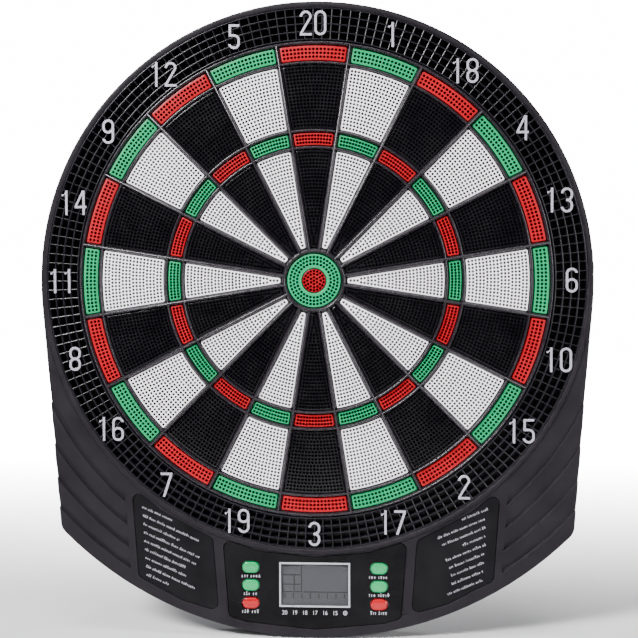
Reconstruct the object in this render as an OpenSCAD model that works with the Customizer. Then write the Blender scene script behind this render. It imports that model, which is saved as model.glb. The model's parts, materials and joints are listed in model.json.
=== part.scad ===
// Wall-hung electronic dartboard for soft-tip darts, in millimetres.
// Every piece is drawn lying on its back: x to the right, y up the board and z forwards,
// away from the wall, with the middle of the bull at x = 0, y = 0 and the wall at z = 0.
// stand() then turns the piece upright, so that the board faces -Y and +Z is up.

/* [Target] */
// Outer radius of the doubles ring
target_r = 172.8; // [145:0.1:210]
// Radial width of a double
double_w = 11; // [8:0.1:14]
// Outer radius of the triples ring
triple_r = 108.9; // [92:0.1:120]
// Radial width of a triple
triple_w = 9; // [7:0.1:12]
// Radius of the outer bull
bull_r = 19.9; // [16:0.1:23]
// Radius of the inner bull
bull_core_r = 8.7; // [6:0.1:11]
// Radius where the inner singles start
tip_r = 24.8; // [22:0.1:32]
// Space between the faces of neighbouring numbers
number_gap = 4; // [3:0.1:5]
// Space between the rings of segments
ring_gap = 3.5; // [3:0.1:5]
// Thickness of a segment, flange included
segment_t = 10; // [7:0.5:14]
// How far a segment moves when a dart hits it
segment_travel = 1.5; // [0.8:0.1:2]
// How far a segment's flange sticks out all round
flange_out = 1.3; // [1:0.05:1.45]
// Thickness of a segment's flange
flange_t = 1.4; // [1:0.1:2]

/* [Web and catch ring] */
// Clearance between a segment and the web
segment_play = 0.45; // [0.3:0.05:0.6]
// How far the web stands above the segments
web_rise = 2.5; // [1:0.1:4]
// Height of the sloping crest of a web rib
web_crest = 1.8; // [1:0.1:2.5]
// How far the web's rings lie below its radial ribs
web_ring_drop = 0.35; // [0.2:0.05:0.8]
// Width of the flat top of a web rib
web_top_w = 0.9; // [0.5:0.1:1.4]
// Radial width of the web's outer ring
web_ring_w = 3.7; // [3:0.1:6]
// Radial width of the catch ring
catch_w = 23.5; // [21:0.1:30]
// Rows of cells in the catch ring
catch_rows = 4; // [2:1:6]
// Cells round each row of the catch ring
catch_cells = 180; // [60:20:240]
// Thickness of the catch ring's walls
catch_wall = 1; // [0.8:0.1:1.4]
// Thickness of the catch ring's floor
catch_floor_t = 2.5; // [2:0.1:4]
// Depth of the catch ring's cells
catch_depth = 8; // [5:0.5:9]
// How far the catch ring's straight walls lie below its round ones
fin_drop = 0.3; // [0.1:0.1:1]
// Height of a numeral
numeral_h = 18; // [14:0.5:20]
// Width of a numeral
numeral_w = 8.7; // [7:0.1:9.5]
// Width of a numeral's stroke
stroke_w = 1.7; // [1.2:0.1:2]
// Thickness of a numeral
numeral_t = 0.9; // [0.5:0.1:1]

/* [Housing] */
// Width of the rim round the catch ring
rim_w = 4.5; // [4:0.1:7]
// How far the rim stands above the face below it
rim_rise = 1.5; // [1:0.1:3]
// Rounding of the rim's edges
rim_round = 1.4; // [0.5:0.1:2]
// Distance from the rim down to the bottom edge
skirt_drop = 62.5; // [58:0.5:80]
// Inward lean of the housing's sides
side_lean = 4.2; // [2:0.1:8]
// Radius of the two bottom corners
corner_r = 12; // [8:0.5:20]
// Thickness of the housing's side wall
wall = 2.4; // [1.8:0.1:3]
// Thickness of the housing's face
face_t = 3; // [2.6:0.1:4]
// Width of a groove in the wings
groove_w = 7; // [5:0.1:8]
// Distance from one groove to the next
groove_pitch = 12.8; // [11:0.1:14]
// Number of grooves on each wing
groove_count = 4; // [1:1:4]
// Depth of a groove at its steep side
groove_depth = 2; // [1:0.1:2.2]
// Half the distance between the inner ends of the grooves
groove_end_x = 139.9; // [138:0.1:150]

/* [Console] */
// Half the width of the console panel
console_x = 68.5; // [66:0.1:72]
// Half the distance between the two rules plates
rules_in_x = 75.6; // [74.5:0.1:80]
// Half the distance between the rules plates' outer edges
rules_out_x = 134.4; // [120:0.1:136]
// Corner radius of the console panel
console_corner = 4.5; // [2:0.1:6]
// Corner radius of a rules plate
rules_corner = 5; // [2:0.1:6]
// Thickness of the console panel
fascia_t = 1.6; // [1.2:0.1:2]
// How far the console panel and the rules plates lie below the face
recess = 0.8; // [0.4:0.1:1.2]
// Thickness of a rules plate
rules_t = 0.8; // [0.5:0.1:1]
// Width of the ledge that carries the console panel
ledge_w = 3; // [2:0.1:4]
// Thickness of that ledge
ledge_t = 2; // [1.2:0.1:2.5]
// Width of the display's frame
lcd_w = 53; // [40:0.5:64]
// Height of the display's frame
lcd_h = 33.7; // [28:0.1:36]
// Width of the frame's border
lcd_border = 1.3; // [1:0.1:2]
// Distance from the middle of a button to the middle of the console
button_x = 48; // [46:0.1:51]
// Distance from one button down to the next
button_pitch = 13.5; // [12.5:0.1:15]
// Width of a button
button_w = 12.2; // [9:0.1:14.7]
// Height of a button
button_h = 8; // [6:0.1:9]
// How far a button stands above the console panel
button_rise = 1.4; // [1:0.1:2]
// How far a button moves
button_travel = 1.2; // [0.6:0.1:1.5]
// Gap between a button and its hole
button_gap = 0.8; // [0.4:0.1:0.9]
// Thickness of a button's flange
button_flange_t = 1; // [0.8:0.1:1.4]

/* [Electronics] */
// Diameter of an AA cell
cell_d = 14.5; // [12:0.1:17.5]
// Length of an AA cell
cell_l = 50.5; // [42:0.5:60]
// Thickness of the circuit board
board_t = 1.6; // [1:0.1:2]
// Thickness of the display glass
glass_t = 2.2; // [1.8:0.1:2.4]
// Thickness of the silicone sheet under the buttons
keypad_t = 0.8; // [0.5:0.1:1.2]
// Radius of the speaker
speaker_r = 14; // [10:0.5:17]
// Thickness of the silicone pad behind the segments
pad_t = 2; // [1:0.1:3]
// Thickness of each sensor film and of their spacer
film_t = 0.3; // [0.2:0.05:0.5]
// Thickness of the board that backs the films
backing_t = 3; // [2:0.1:4]
// Width of a ribbon from the films
ribbon_w = 12; // [8:0.5:16]

/* [Back] */
// Thickness of the rear cover
cover_t = 2.2; // [2:0.1:3]
// Clearance round pieces that fit into one another
play = 0.3; // [0.2:0.05:0.5]
// Distance between the two keyholes
keyhole_spacing = 220; // [180:1:260]
// Height of the keyholes above the bull
keyhole_y = 92; // [80:1:100]
// Radius of a keyhole's round part
keyhole_r = 4.5; // [4:0.1:6]
// Width of a keyhole's slot
keyhole_slot_w = 4.6; // [4.4:0.1:5]
// Distance from the round part's middle to the slot's end
keyhole_slot_l = 11; // [9:0.5:16]
// Radius of a screw's shank
screw_r = 1.45; // [1.2:0.05:1.6]
// Radius of a screw's head
screw_head_r = 3.2; // [2.8:0.1:3.6]
// Height of a screw's head
screw_head_t = 1.8; // [1.4:0.1:2.2]
// Thickness of the walls of the battery bay
bay_wall = 2.4; // [2:0.1:2.8]
// Width of the ledge that the battery door rests on
door_ledge = 1; // [0.6:0.1:1.2]
// Thickness of the battery door
door_t = 1.8; // [1.4:0.1:1.9]

/* [Hidden] */
$fn = 96;
eps = 0.01;

// Numbers clockwise from the top
NUMBERS = [20, 1, 18, 4, 13, 6, 10, 15, 2, 17, 3, 19, 7, 16, 8, 11, 14, 9, 12, 5];
slice = 360 / len(NUMBERS);

// Radii, from the bull outwards
triple_in_r = triple_r - triple_w;
double_in_r = target_r - double_w;
web_out_r = target_r + web_ring_w - 0.2;
catch_in_r = target_r + web_ring_w;
catch_out_r = catch_in_r + catch_w;
rim_r = catch_out_r + rim_w;
bottom_r = rim_r + skirt_drop;
web_flange_r = catch_in_r + 7.5;
film_r = target_r + flange_out + 0.1;
web_screw_r = catch_in_r + 3.5;
post_ring_r = catch_in_r + 15.5;
numeral_ring_r = catch_in_r + catch_w / 2 + 0.2;
// Inner and outer radii of a number's four segments
SEGMENT_RADII = [[tip_r, triple_in_r - ring_gap], [triple_in_r, triple_r],
    [triple_r + ring_gap, double_in_r - ring_gap], [double_in_r, target_r]];

// Heights above the wall in the console, from the back forwards
cell_z = cover_t + 0.4;
bay_floor_z = cell_z + cell_d + 0.2;
bay_floor_t = 1.2;
board_z = bay_floor_z + bay_floor_t + 0.3;
keypad_z = board_z + board_t;
dome_rise = 0.3;
button_z = keypad_z + keypad_t + dome_rise + button_travel + 0.1;
fascia_z = button_z + button_flange_t + play;
fascia_top_z = fascia_z + fascia_t;
face_z = fascia_top_z + recess;
depth = face_z + rim_rise;

// Heights above the wall in the target, from the front backwards
web_top_z = depth - 0.5;
segment_top_z = web_top_z - web_rise;
segment_z = segment_top_z - segment_t;
web_z = segment_z + flange_t + play;
pad_z = segment_z - segment_travel - 0.2 - pad_t;
film_upper_z = pad_z - film_t;
spacer_z = film_upper_z - film_t;
film_lower_z = spacer_z - film_t;
backing_z = film_lower_z - backing_t;
catch_top_z = depth - 1;
catch_floor_top_z = catch_top_z - catch_depth;
catch_z = catch_floor_top_z - catch_floor_t;
web_flange_t = 2;
step_z = depth - 6;
wall_foot_z = film_upper_z + film_t + 0.7;

// Console places, all measured down from the bottom of the catch ring
belt_y = -catch_out_r;
lcd_y = belt_y - 27.2;
button_top_y = belt_y - 14.5;
bay_y = belt_y - 32;
bay_gap = 0.7;
bay_w = cell_l + 5.5;
bay_h = 3 * (cell_d + bay_gap) + 1.4;
board_inset = 3;
ribbon_x = 45;
connector_y = belt_y - 9;
speaker_frame_t = 2.8;
speaker_at = [-(rim_r + 20) * sin(28), -(rim_r + 20) * cos(28)];

// The sides' outward direction and the middle of the rounded bottom corner
side_out = [cos(side_lean), -sin(side_lean)];
side_down = [-sin(side_lean), -cos(side_lean)];
corner_out = rim_r - corner_r;
corner_down = sqrt(pow(bottom_r - corner_r, 2) - pow(corner_out, 2));
corner_at = corner_out * side_out + corner_down * side_down;

// Screw places
WEB_SCREWS = [for (k = [0:9]) polar(web_screw_r, 18 + 36 * k)];
RING_POSTS = [for (k = [0:7]) polar(post_ring_r, 22.5 + 45 * k)];
SKIRT_POSTS = [for (s = [-1, 1]) each [[s * (console_x + 3.6), belt_y - 46],
    [s * (groove_end_x + 20), belt_y + 36]]];
BOARD_SCREWS = [for (s = [-1, 1]) each [[s * (console_x - 5.2), belt_y - 10],
    [s * (console_x - 7.6), belt_y - 42]]];
boss_t = 2;
counterbore_z = screw_head_t + 0.6;
boss_top_z = counterbore_z + boss_t;
post_r = screw_r + 2;
hole_r = screw_r + 0.05;
free_hole_r = screw_r + 0.2;
web_bite = 2;

function polar(r, a) = [r * cos(a), r * sin(a)];
function lean_x(x, y) = x + tan(side_lean) * (y - belt_y);

// ---- Shared shapes ----

module stand() {
    rotate([90, 0, 0]) children();
}

module slab(z0, z1) {
    translate([0, 0, z0]) linear_extrude(z1 - z0) children();
}

module disc(r, z0, z1) {
    translate([0, 0, z0]) cylinder(r = r, h = z1 - z0);
}

module ring2d(r0, r1) {
    difference() {
        circle(r = r1);
        circle(r = r0);
    }
}

module ring(r0, r1, z0, z1) {
    slab(z0, z1) ring2d(r0, r1);
}

module at_each(places) {
    for (p = places) translate(p) children();
}

// Round-ended slot or oval, w along x and h along y
module stadium(w, h) {
    r = min(w, h) / 2;
    if (w > h) square([w - h, h], center = true);
    if (h > w) square([w, h - w], center = true);
    for (s = w == h ? [0] : [-1, 1]) translate([s * (w / 2 - r), s * (h / 2 - r)]) circle(r = r);
}

// One number's slice between two radii, pointing along +x, with gap left between neighbours
module wedge(r0, r1, gap) {
    apex = gap / 2 / sin(slice / 2);
    reach = 1.2 * r1;
    side = (reach - apex) * tan(slice / 2);
    intersection() {
        ring2d(r0, r1);
        polygon([[apex, 0], [reach, side], [reach, -side]]);
    }
}

// The housing's outline, drawn in by inset
module outline(inset) {
    c = corner_at;
    circle(r = rim_r - inset);
    intersection() {
        circle(r = bottom_r - inset);
        polygon([[0, 0], 3 * c, [0, 4 * c.y], [-3 * c.x, 3 * c.y]]);
    }
    for (m = [0, 1]) mirror([m, 0]) {
        polygon([[0, -rim_r / 2], c, c + (corner_r - inset) * side_out, (rim_r - inset) * side_out,
            [0, rim_r / 4]]);
        translate(c) circle(r = corner_r - inset);
    }
}

// The band below the catch ring between two radii and two leaning lines
module belt(r0, r1, x0, x1) {
    top = belt_y + 90;
    foot = belt_y - 90;
    intersection() {
        ring2d(r0, r1);
        polygon([[lean_x(x0, top), top], [lean_x(x1, top), top],
            [lean_x(x1, foot), foot], [lean_x(x0, foot), foot]]);
    }
}

// The console panel's outline, symmetrical about x = 0
module console_shape(inset) {
    top = belt_y + 90;
    foot = belt_y - 90;
    x = console_x - inset;
    offset(r = console_corner, $fn = 32) offset(delta = -console_corner) intersection() {
        ring2d(rim_r + 1.5 + inset, bottom_r - 6 - inset);
        polygon([[-lean_x(x, top), top], [lean_x(x, top), top],
            [lean_x(x, foot), foot], [-lean_x(x, foot), foot]]);
    }
}

module rules_shape(inset) {
    offset(r = rules_corner, $fn = 32) offset(delta = -rules_corner)
        belt(rim_r + 2.5 + inset, bottom_r - 7 - inset, rules_in_x + inset, rules_out_x - inset);
}

// ---- Segments ----

// The four segments of the number in place i, counted clockwise from the top
module number_segments(i) {
    color(i % 2 == 0 ? "#17131b" : "#e2dee4") stand() rotate(90 - slice * i)
        for (r = SEGMENT_RADII) {
            slab(segment_z, segment_top_z) wedge(r[0], r[1], number_gap);
            slab(segment_z, segment_z + flange_t)
                wedge(r[0] - flange_out, r[1] + flange_out, number_gap - 2 * flange_out);
        }
}

core_flange_r = bull_core_r + 1.8;
core_flange_t = 1.2;

module bull_outer() {
    color("#4fc184") stand() difference() {
        union() {
            disc(bull_r, segment_z, segment_top_z);
            disc(bull_r + flange_out, segment_z, segment_z + flange_t);
        }
        disc(bull_core_r + 0.4, segment_z - 1, segment_top_z + 1);
        disc(core_flange_r + 0.5, segment_z - 1,
            segment_z + core_flange_t + segment_travel + play);
    }
}

module bull_inner() {
    color("#b81f2b") stand() {
        disc(bull_core_r, segment_z, segment_top_z);
        disc(core_flange_r, segment_z, segment_z + core_flange_t);
    }
}

// ---- Web, catch ring and numerals ----

// Cross-section of a web rib: upright sides under a sloping crest
module rib_section(w, top_z) {
    polygon([[-w / 2, web_z], [w / 2, web_z], [w / 2, top_z - web_crest],
        [web_top_w / 2, top_z], [-web_top_w / 2, top_z], [-w / 2, top_z - web_crest]]);
}

// The rings lie a little lower than the radial ribs
module web_ring(r0, r1) {
    rotate_extrude() translate([(r0 + r1) / 2, 0]) rib_section(r1 - r0, web_top_z - web_ring_drop);
}

module spider() {
    p = segment_play;
    rib_w = number_gap - 2 * p;
    rib_from = (bull_r + tip_r) / 2;
    color("#47444a") stand() difference() {
        union() {
            web_ring(bull_r + p, tip_r - p - 0.4);
            web_ring(triple_in_r - ring_gap + p, triple_in_r - p);
            web_ring(triple_r + p, triple_r + ring_gap - p);
            web_ring(double_in_r - ring_gap + p, double_in_r - p);
            web_ring(target_r + p, web_out_r);
            ring(film_r + play, web_out_r, catch_z - web_flange_t, web_z + 2);
            ring(film_r + play, web_flange_r, catch_z - web_flange_t, catch_z);
            for (k = [0:len(NUMBERS) - 1]) rotate(slice * (k + 0.5)) translate([rib_from, 0, 0])
                rotate([90, 0, 90]) linear_extrude(web_out_r - 1.3 - rib_from)
                    rib_section(rib_w, web_top_z);
            at_each(WEB_SCREWS) disc(post_r, backing_z + backing_t, catch_z);
        }
        at_each(WEB_SCREWS) disc(free_hole_r, backing_z, catch_z + 1);
    }
}

// Round walls and radial fins that make the cells
module catch_grid() {
    row = (catch_w - catch_wall) / catch_rows;
    root_z = catch_floor_top_z - catch_floor_t / 2;
    for (k = [0:catch_rows])
        ring(catch_in_r + 0.1 + k * row, catch_in_r + catch_wall + k * row - 0.1,
            root_z, catch_top_z);
    for (k = [0:catch_cells - 1]) rotate(k * 360 / catch_cells)
        translate([catch_in_r + catch_wall / 2, -catch_wall / 2, root_z + eps])
            cube([catch_w - catch_wall, catch_wall, catch_top_z - fin_drop - root_z - eps]);
}

module catch_ring() {
    color("#1b191d") stand() difference() {
        union() {
            ring(catch_in_r + catch_wall / 2, catch_out_r - catch_wall / 2, catch_z, catch_floor_top_z);
            catch_grid();
            ring(catch_out_r - catch_wall / 2, rim_r - wall - play, step_z - 2.4, step_z);
            at_each(RING_POSTS) disc(post_r, boss_top_z, catch_z + 1);
        }
        at_each(RING_POSTS) disc(hole_r, boss_top_z - 1, catch_z - 2);
        at_each(WEB_SCREWS) disc(hole_r, catch_z - 1, catch_z + web_bite);
    }
}

// Numerals are drawn about their own middle
module oval_band(w, h) {
    difference() {
        stadium(w, h);
        stadium(w - 2 * stroke_w, h - 2 * stroke_w);
    }
}

module bar(x0, y0, x1, y1) {
    translate([x0, y0]) square([x1 - x0, y1 - y0]);
}

// A slanting stroke from (x0, y0) up to (x1, y1), w wide along x
module slant(x0, y0, x1, y1, w) {
    polygon([[x0, y0], [x0 + w, y0], [x1 + w, y1], [x1, y1]]);
}

module numeral_one() {
    bar(-stroke_w / 2, -numeral_h / 2, stroke_w / 2, numeral_h / 2);
    slant(-3.4, numeral_h / 2 - 4, -stroke_w / 2, numeral_h / 2 - 1.6, stroke_w / 2);
    bar(-3.4, numeral_h / 2 - 4, -2.2, numeral_h / 2 - 2.6);
}

module numeral_two() {
    x = numeral_w / 2;
    y = numeral_h / 2;
    bowl_y = y - numeral_w / 2;
    difference() {
        translate([0, bowl_y]) oval_band(numeral_w, numeral_w);
        bar(-x - 1, bowl_y - x - 1, x - stroke_w, bowl_y);
        bar(0, bowl_y - x - 1, x + 1, bowl_y - 1.2);
    }
    slant(-x, -y + stroke_w - eps, x - stroke_w * 1.1, bowl_y - 0.6, stroke_w * 1.1);
    bar(-x, -y, x, -y + stroke_w);
}

module numeral_eight() {
    h = (numeral_h + stroke_w) / 2;
    for (s = [-1, 1]) translate([0, s * (numeral_h - h) / 2]) oval_band(numeral_w, h);
}

module numeral_three() {
    difference() {
        numeral_eight();
        bar(-numeral_w, -numeral_h / 4 - 0.4, -0.6, numeral_h / 4 + 0.4);
    }
}

module numeral_four() {
    x = numeral_w / 2;
    y = numeral_h / 2;
    foot = -y + numeral_h * 0.28;
    bar(x - 2.9, -y, x - 2.9 + stroke_w, y);
    bar(-x, foot, x, foot + stroke_w);
    slant(-x, foot + stroke_w - eps, x - 2.9 - 0.3, y, stroke_w);
}

module numeral_five() {
    x = numeral_w / 2;
    y = numeral_h / 2;
    bowl_h = numeral_h * 0.6;
    difference() {
        translate([0, -y + bowl_h / 2]) oval_band(numeral_w, bowl_h);
        bar(-x - 1, -y + numeral_h * 0.2, -0.5, -y + bowl_h + 1);
    }
    bar(-x + 0.5, -y + bowl_h - stroke_w, 0, -y + bowl_h);
    bar(-x + 0.5, -y + bowl_h - stroke_w, -x + 0.5 + stroke_w, y);
    bar(-x + 0.5, y - stroke_w, x - 0.4, y);
}

module numeral_six() {
    x = numeral_w / 2;
    y = numeral_h / 2;
    bowl_h = numeral_h * 0.58;
    translate([0, -y + bowl_h / 2]) oval_band(numeral_w, bowl_h);
    difference() {
        oval_band(numeral_w, numeral_h);
        bar(0, -y - 1, x + 1, y - numeral_w * 0.42);
    }
}

module numeral_seven() {
    x = numeral_w / 2;
    y = numeral_h / 2;
    bar(-x, y - stroke_w, x, y);
    slant(-x + 1.4, -y, x - stroke_w * 1.1, y - stroke_w + eps, stroke_w * 1.1);
}

module numeral(d) {
    if (d == 0) oval_band(numeral_w, numeral_h);
    if (d == 1) numeral_one();
    if (d == 2) numeral_two();
    if (d == 3) numeral_three();
    if (d == 4) numeral_four();
    if (d == 5) numeral_five();
    if (d == 6) numeral_six();
    if (d == 7) numeral_seven();
    if (d == 8) numeral_eight();
    if (d == 9) rotate(180) numeral_six();
}

// The numbers stand upright all round the ring
module number_ring() {
    step = (numeral_w + 2) / 2;
    color("#b9b6c2") stand() for (i = [0:len(NUMBERS) - 1]) {
        n = NUMBERS[i];
        translate(polar(numeral_ring_r, 90 - slice * i)) slab(catch_top_z, catch_top_z + numeral_t)
            if (n < 10) numeral(n);
            else {
                translate([-step, 0]) numeral(floor(n / 10));
                translate([step, 0]) numeral(n % 10);
            }
    }
}

// ---- Housing ----

// One wing's grooves: a slope down to a steep outer side
module wing_grooves() {
    intersection() {
        rotate_extrude() for (k = [0:groove_count - 1]) translate([rim_r + 7 + k * groove_pitch, 0])
            polygon([[0, face_z + eps], [groove_w - 0.8, face_z - groove_depth],
                [groove_w - 0.3, face_z - groove_depth], [groove_w, face_z + eps],
                [groove_w, face_z + 1], [0, face_z + 1]]);
        slab(face_z - face_t, face_z + 2) polygon([[lean_x(groove_end_x, -60), -60],
            [rim_r + 60, -60], [rim_r + 60, -bottom_r], [lean_x(groove_end_x, -bottom_r), -bottom_r]]);
    }
}

module rim_section() {
    r = rim_round;
    translate([catch_out_r, 0]) {
        bar(0, step_z, rim_w, depth - r);
        bar(r, step_z, rim_w - r, depth);
        translate([r, depth - r]) circle(r = r);
        translate([rim_w - r, depth - r]) circle(r = r);
    }
}

module front_housing() {
    color("#3e3741") stand() difference() {
        union() {
            slab(cover_t, face_z) difference() {
                outline(0);
                outline(wall);
            }
            slab(face_z - face_t, face_z) difference() {
                outline(0);
                circle(r = rim_r - wall);
                console_shape(0);
            }
            ring(rim_r - wall, rim_r, wall_foot_z, step_z + 1);
            rotate_extrude() rim_section();
            slab(fascia_z - ledge_t, fascia_z) difference() {
                console_shape(-1.4);
                console_shape(ledge_w);
            }
            at_each(SKIRT_POSTS) disc(post_r, boss_top_z, face_z - face_t + eps);
            at_each(BOARD_SCREWS) disc(post_r - 0.4, keypad_z, fascia_z);
        }
        for (m = [0, 1]) mirror([m, 0, 0]) {
            slab(fascia_top_z - rules_t, face_z + 1) rules_shape(0);
            wing_grooves();
        }
        at_each(SKIRT_POSTS) disc(hole_r, boss_top_z - 1, boss_top_z + 9);
        at_each(BOARD_SCREWS) disc(hole_r, keypad_z - 1, fascia_z - 0.8);
    }
}

// ---- Console ----

function button_row(k) = button_top_y - k * button_pitch;

module each_button() {
    for (s = [-1, 1], k = [0:2]) translate([s * button_x, button_row(k)]) children();
}

module lcd_rect(grow) {
    translate([0, lcd_y]) square([lcd_w + 2 * grow, lcd_h + 2 * grow], center = true);
}

module console_fascia() {
    color("#0c0b0d") stand() slab(fascia_z, fascia_top_z) difference() {
        console_shape(play);
        lcd_rect(-lcd_border + 0.4);
        each_button() stadium(button_w + 2 * button_gap, button_h + 2 * button_gap);
    }
}

module lcd_bezel() {
    color("#d9d9de") stand() slab(fascia_top_z, fascia_top_z + 0.6) difference() {
        lcd_rect(0);
        lcd_rect(-lcd_border);
    }
}

module lcd_window() {
    color("#8d9296", 0.5) stand() slab(fascia_z, fascia_top_z) lcd_rect(-lcd_border + 0.3);
}

module lcd_glass() {
    color("#777d7c") stand() slab(fascia_z - glass_t, fascia_z) lcd_rect(1.5);
}

// Two rubber strips carry the display's contacts to the board
module lcd_connector() {
    color("#c9a3a8") stand() for (s = [-1, 1]) translate([0, lcd_y + s * lcd_h / 2])
        slab(keypad_z, fascia_z - glass_t) square([lcd_w, 2.4], center = true);
}

module rules_plate(side) {
    color("#262129") stand() mirror([side < 0 ? 1 : 0, 0, 0])
        slab(fascia_top_z - rules_t, fascia_top_z) rules_shape(play);
}

module rules_plate_left() { rules_plate(-1); }
module rules_plate_right() { rules_plate(1); }

// An oval cap with a flange behind the console panel; side is -1 left, 1 right
module button(side, row, tint) {
    top_z = fascia_top_z + button_rise;
    flange_out_w = button_gap + 1;
    color(tint) stand() translate([side * button_x, button_row(row)]) {
        slab(button_z, top_z - 0.5) stadium(button_w, button_h);
        slab(top_z - 0.5 - eps, top_z) stadium(button_w - 1.2, button_h - 1.2);
        slab(button_z, button_z + button_flange_t)
            stadium(button_w + 2 * flange_out_w, button_h + 2 * flange_out_w);
    }
}

module option_button() { button(-1, 0, "#3fc478"); }
module game_button() { button(-1, 1, "#3fc478"); }
module power_button() { button(-1, 2, "#d93535"); }
module double_button() { button(1, 0, "#3fc478"); }
module player_button() { button(1, 1, "#3fc478"); }
module start_button() { button(1, 2, "#d93535"); }

module keypad(side) {
    color("#cfd3cf") stand() translate([side * button_x, button_row(1)]) {
        slab(keypad_z, keypad_z + keypad_t) square([button_w + 3, 2 * button_pitch + button_h + 3], center = true);
        for (k = [-1:1]) translate([0, k * button_pitch])
            disc(3, keypad_z, keypad_z + keypad_t + dome_rise);
    }
}

module keypad_left() { keypad(-1); }
module keypad_right() { keypad(1); }

// ---- Electronics ----

module main_board() {
    color("#1f6b3a") stand() difference() {
        slab(board_z, keypad_z) console_shape(board_inset);
        at_each(BOARD_SCREWS) disc(free_hole_r, board_z - 1, keypad_z + 1);
    }
}

// A chip, centred on (x, y), on the back of the board
module chip(x, y, w, h, t) {
    translate([x, y]) slab(board_z - t, board_z) square([w, h], center = true);
}

module board_chips() {
    color("#202022") stand() {
        for (s = [-1, 1]) chip(s * ribbon_x, connector_y - 2.5, ribbon_w + 3, 5, 3);
        chip(-50, belt_y - 32, 12, 12, 1.6);
        chip(50, belt_y - 30, 9, 6, 1.5);
        chip(47, belt_y - 40, 5, 4, 1.2);
        chip(-38, belt_y - 44, 4, 3, 1.2);
        chip(39, belt_y - 24, 3, 8, 2.4);
    }
}

module speaker() {
    color("#8b8b90") stand() translate(speaker_at) {
        disc(speaker_r, cover_t, cover_t + speaker_frame_t);
        disc(speaker_r * 0.6, cover_t + 1, cover_t + 6);
    }
}

module return_pad() {
    color("#dfe2e4") stand() disc(film_r, pad_z, pad_z + pad_t);
}

module sensor_film_upper() {
    color("#a9c4d6") stand() disc(film_r, film_upper_z, pad_z);
}

module film_spacer() {
    color("#e8e8ee") stand() disc(film_r, spacer_z, film_upper_z);
}

module sensor_film_lower() {
    color("#8fb0c8") stand() disc(film_r, film_lower_z, spacer_z);
}

module backing_plate() {
    color("#8a6f4d") stand() difference() {
        disc(web_flange_r, backing_z, film_lower_z);
        at_each(WEB_SCREWS) disc(free_hole_r, backing_z - 1, film_lower_z + 1);
    }
}

// A flat ribbon from a film's edge, under the rim and up to its connector on the board
module ribbon(side, z) {
    t = film_t;
    rise_y = belt_y - 3;
    plug_z = board_z - 1.5;
    color("#d8b25c") stand() difference() {
        translate([side * ribbon_x - ribbon_w / 2, 0, 0]) rotate([90, 0, 90])
            linear_extrude(ribbon_w) polygon([[-film_r * 0.85, z], [rise_y, z],
                [rise_y - 4, plug_z], [connector_y, plug_z], [connector_y, plug_z + t],
                [rise_y - 4 + t, plug_z + t], [rise_y + t, z + t], [-film_r * 0.85, z + t]]);
        disc(film_r, z - 1, z + 1);
    }
}

module ribbon_rows() { ribbon(-1, film_upper_z); }
module ribbon_columns() { ribbon(1, film_lower_z); }

// ---- Batteries and back ----

// Cell k counts down from the top; every other one points the other way
module battery(k) {
    way = k == 1 ? -1 : 1;
    color("#2c6e8f") stand() translate([0, bay_y + (1 - k) * (cell_d + bay_gap), cell_z + cell_d / 2])
        rotate([0, way * 90, 0]) {
            translate([0, 0, -cell_l / 2]) cylinder(d = cell_d, h = cell_l - 1);
            translate([0, 0, cell_l / 2 - 1 - eps]) cylinder(r = 2.7, h = 1 + eps);
        }
}

module battery_1() { battery(0); }
module battery_2() { battery(1); }
module battery_3() { battery(2); }

// A plate at each end of each cell, with a spring at the flat end
module battery_contacts() {
    color("#c8c8cc") stand() for (k = [0:2], s = [-1, 1])
        translate([0, bay_y + (1 - k) * (cell_d + bay_gap), cell_z + cell_d / 2]) {
            spring_side = k == 1 ? 1 : -1;
            translate([s * (bay_w / 2 - 0.25), 0, 0]) cube([0.5, 10, 11], center = true);
            if (s == spring_side) translate([s * (cell_l / 2 + 0.05), 0, 0])
                rotate([0, s * 90, 0]) cylinder(r1 = 2, r2 = 4, h = bay_w / 2 - cell_l / 2 - 0.5);
        }
}

door_w = bay_w + 2 * door_ledge;
door_h = bay_h + 2 * door_ledge;

// A flat lid with a finger hollow near its top edge
module battery_door() {
    color("#352f38") stand() translate([0, bay_y]) difference() {
        slab(cover_t - door_t - 0.1, cover_t - 0.1) square([door_w, door_h], center = true);
        translate([0, door_h / 2 - 6]) slab(0, cover_t - door_t + 0.7) stadium(18, 4);
    }
}

// A flat two-core lead that runs level from a to b and then forwards to the board
module flat_lead(a, b, z) {
    run = b - a;
    t = 1.2;
    translate([a.x, a.y, 0]) rotate([90, 0, atan2(run.y, run.x)]) translate([0, 0, -t])
        linear_extrude(2 * t) polygon([[0, z], [norm(run), z], [norm(run), board_z],
            [norm(run) - t, board_z], [norm(run) - t, z + t], [0, z + t]]);
}

module wire_leads() {
    battery_y = belt_y - 24;
    color("#b02a2a") stand() {
        flat_lead([-bay_w / 2 - bay_wall, battery_y], [-40, battery_y], 8);
        flat_lead(speaker_at + [11, -3], [-60, belt_y - 23], cover_t + speaker_frame_t);
    }
}

module keyhole() {
    circle(r = keyhole_r);
    translate([0, keyhole_slot_l / 2])
        square([keyhole_slot_w, keyhole_slot_l], center = true);
    translate([0, keyhole_slot_l]) circle(r = keyhole_slot_w / 2);
}

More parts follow.
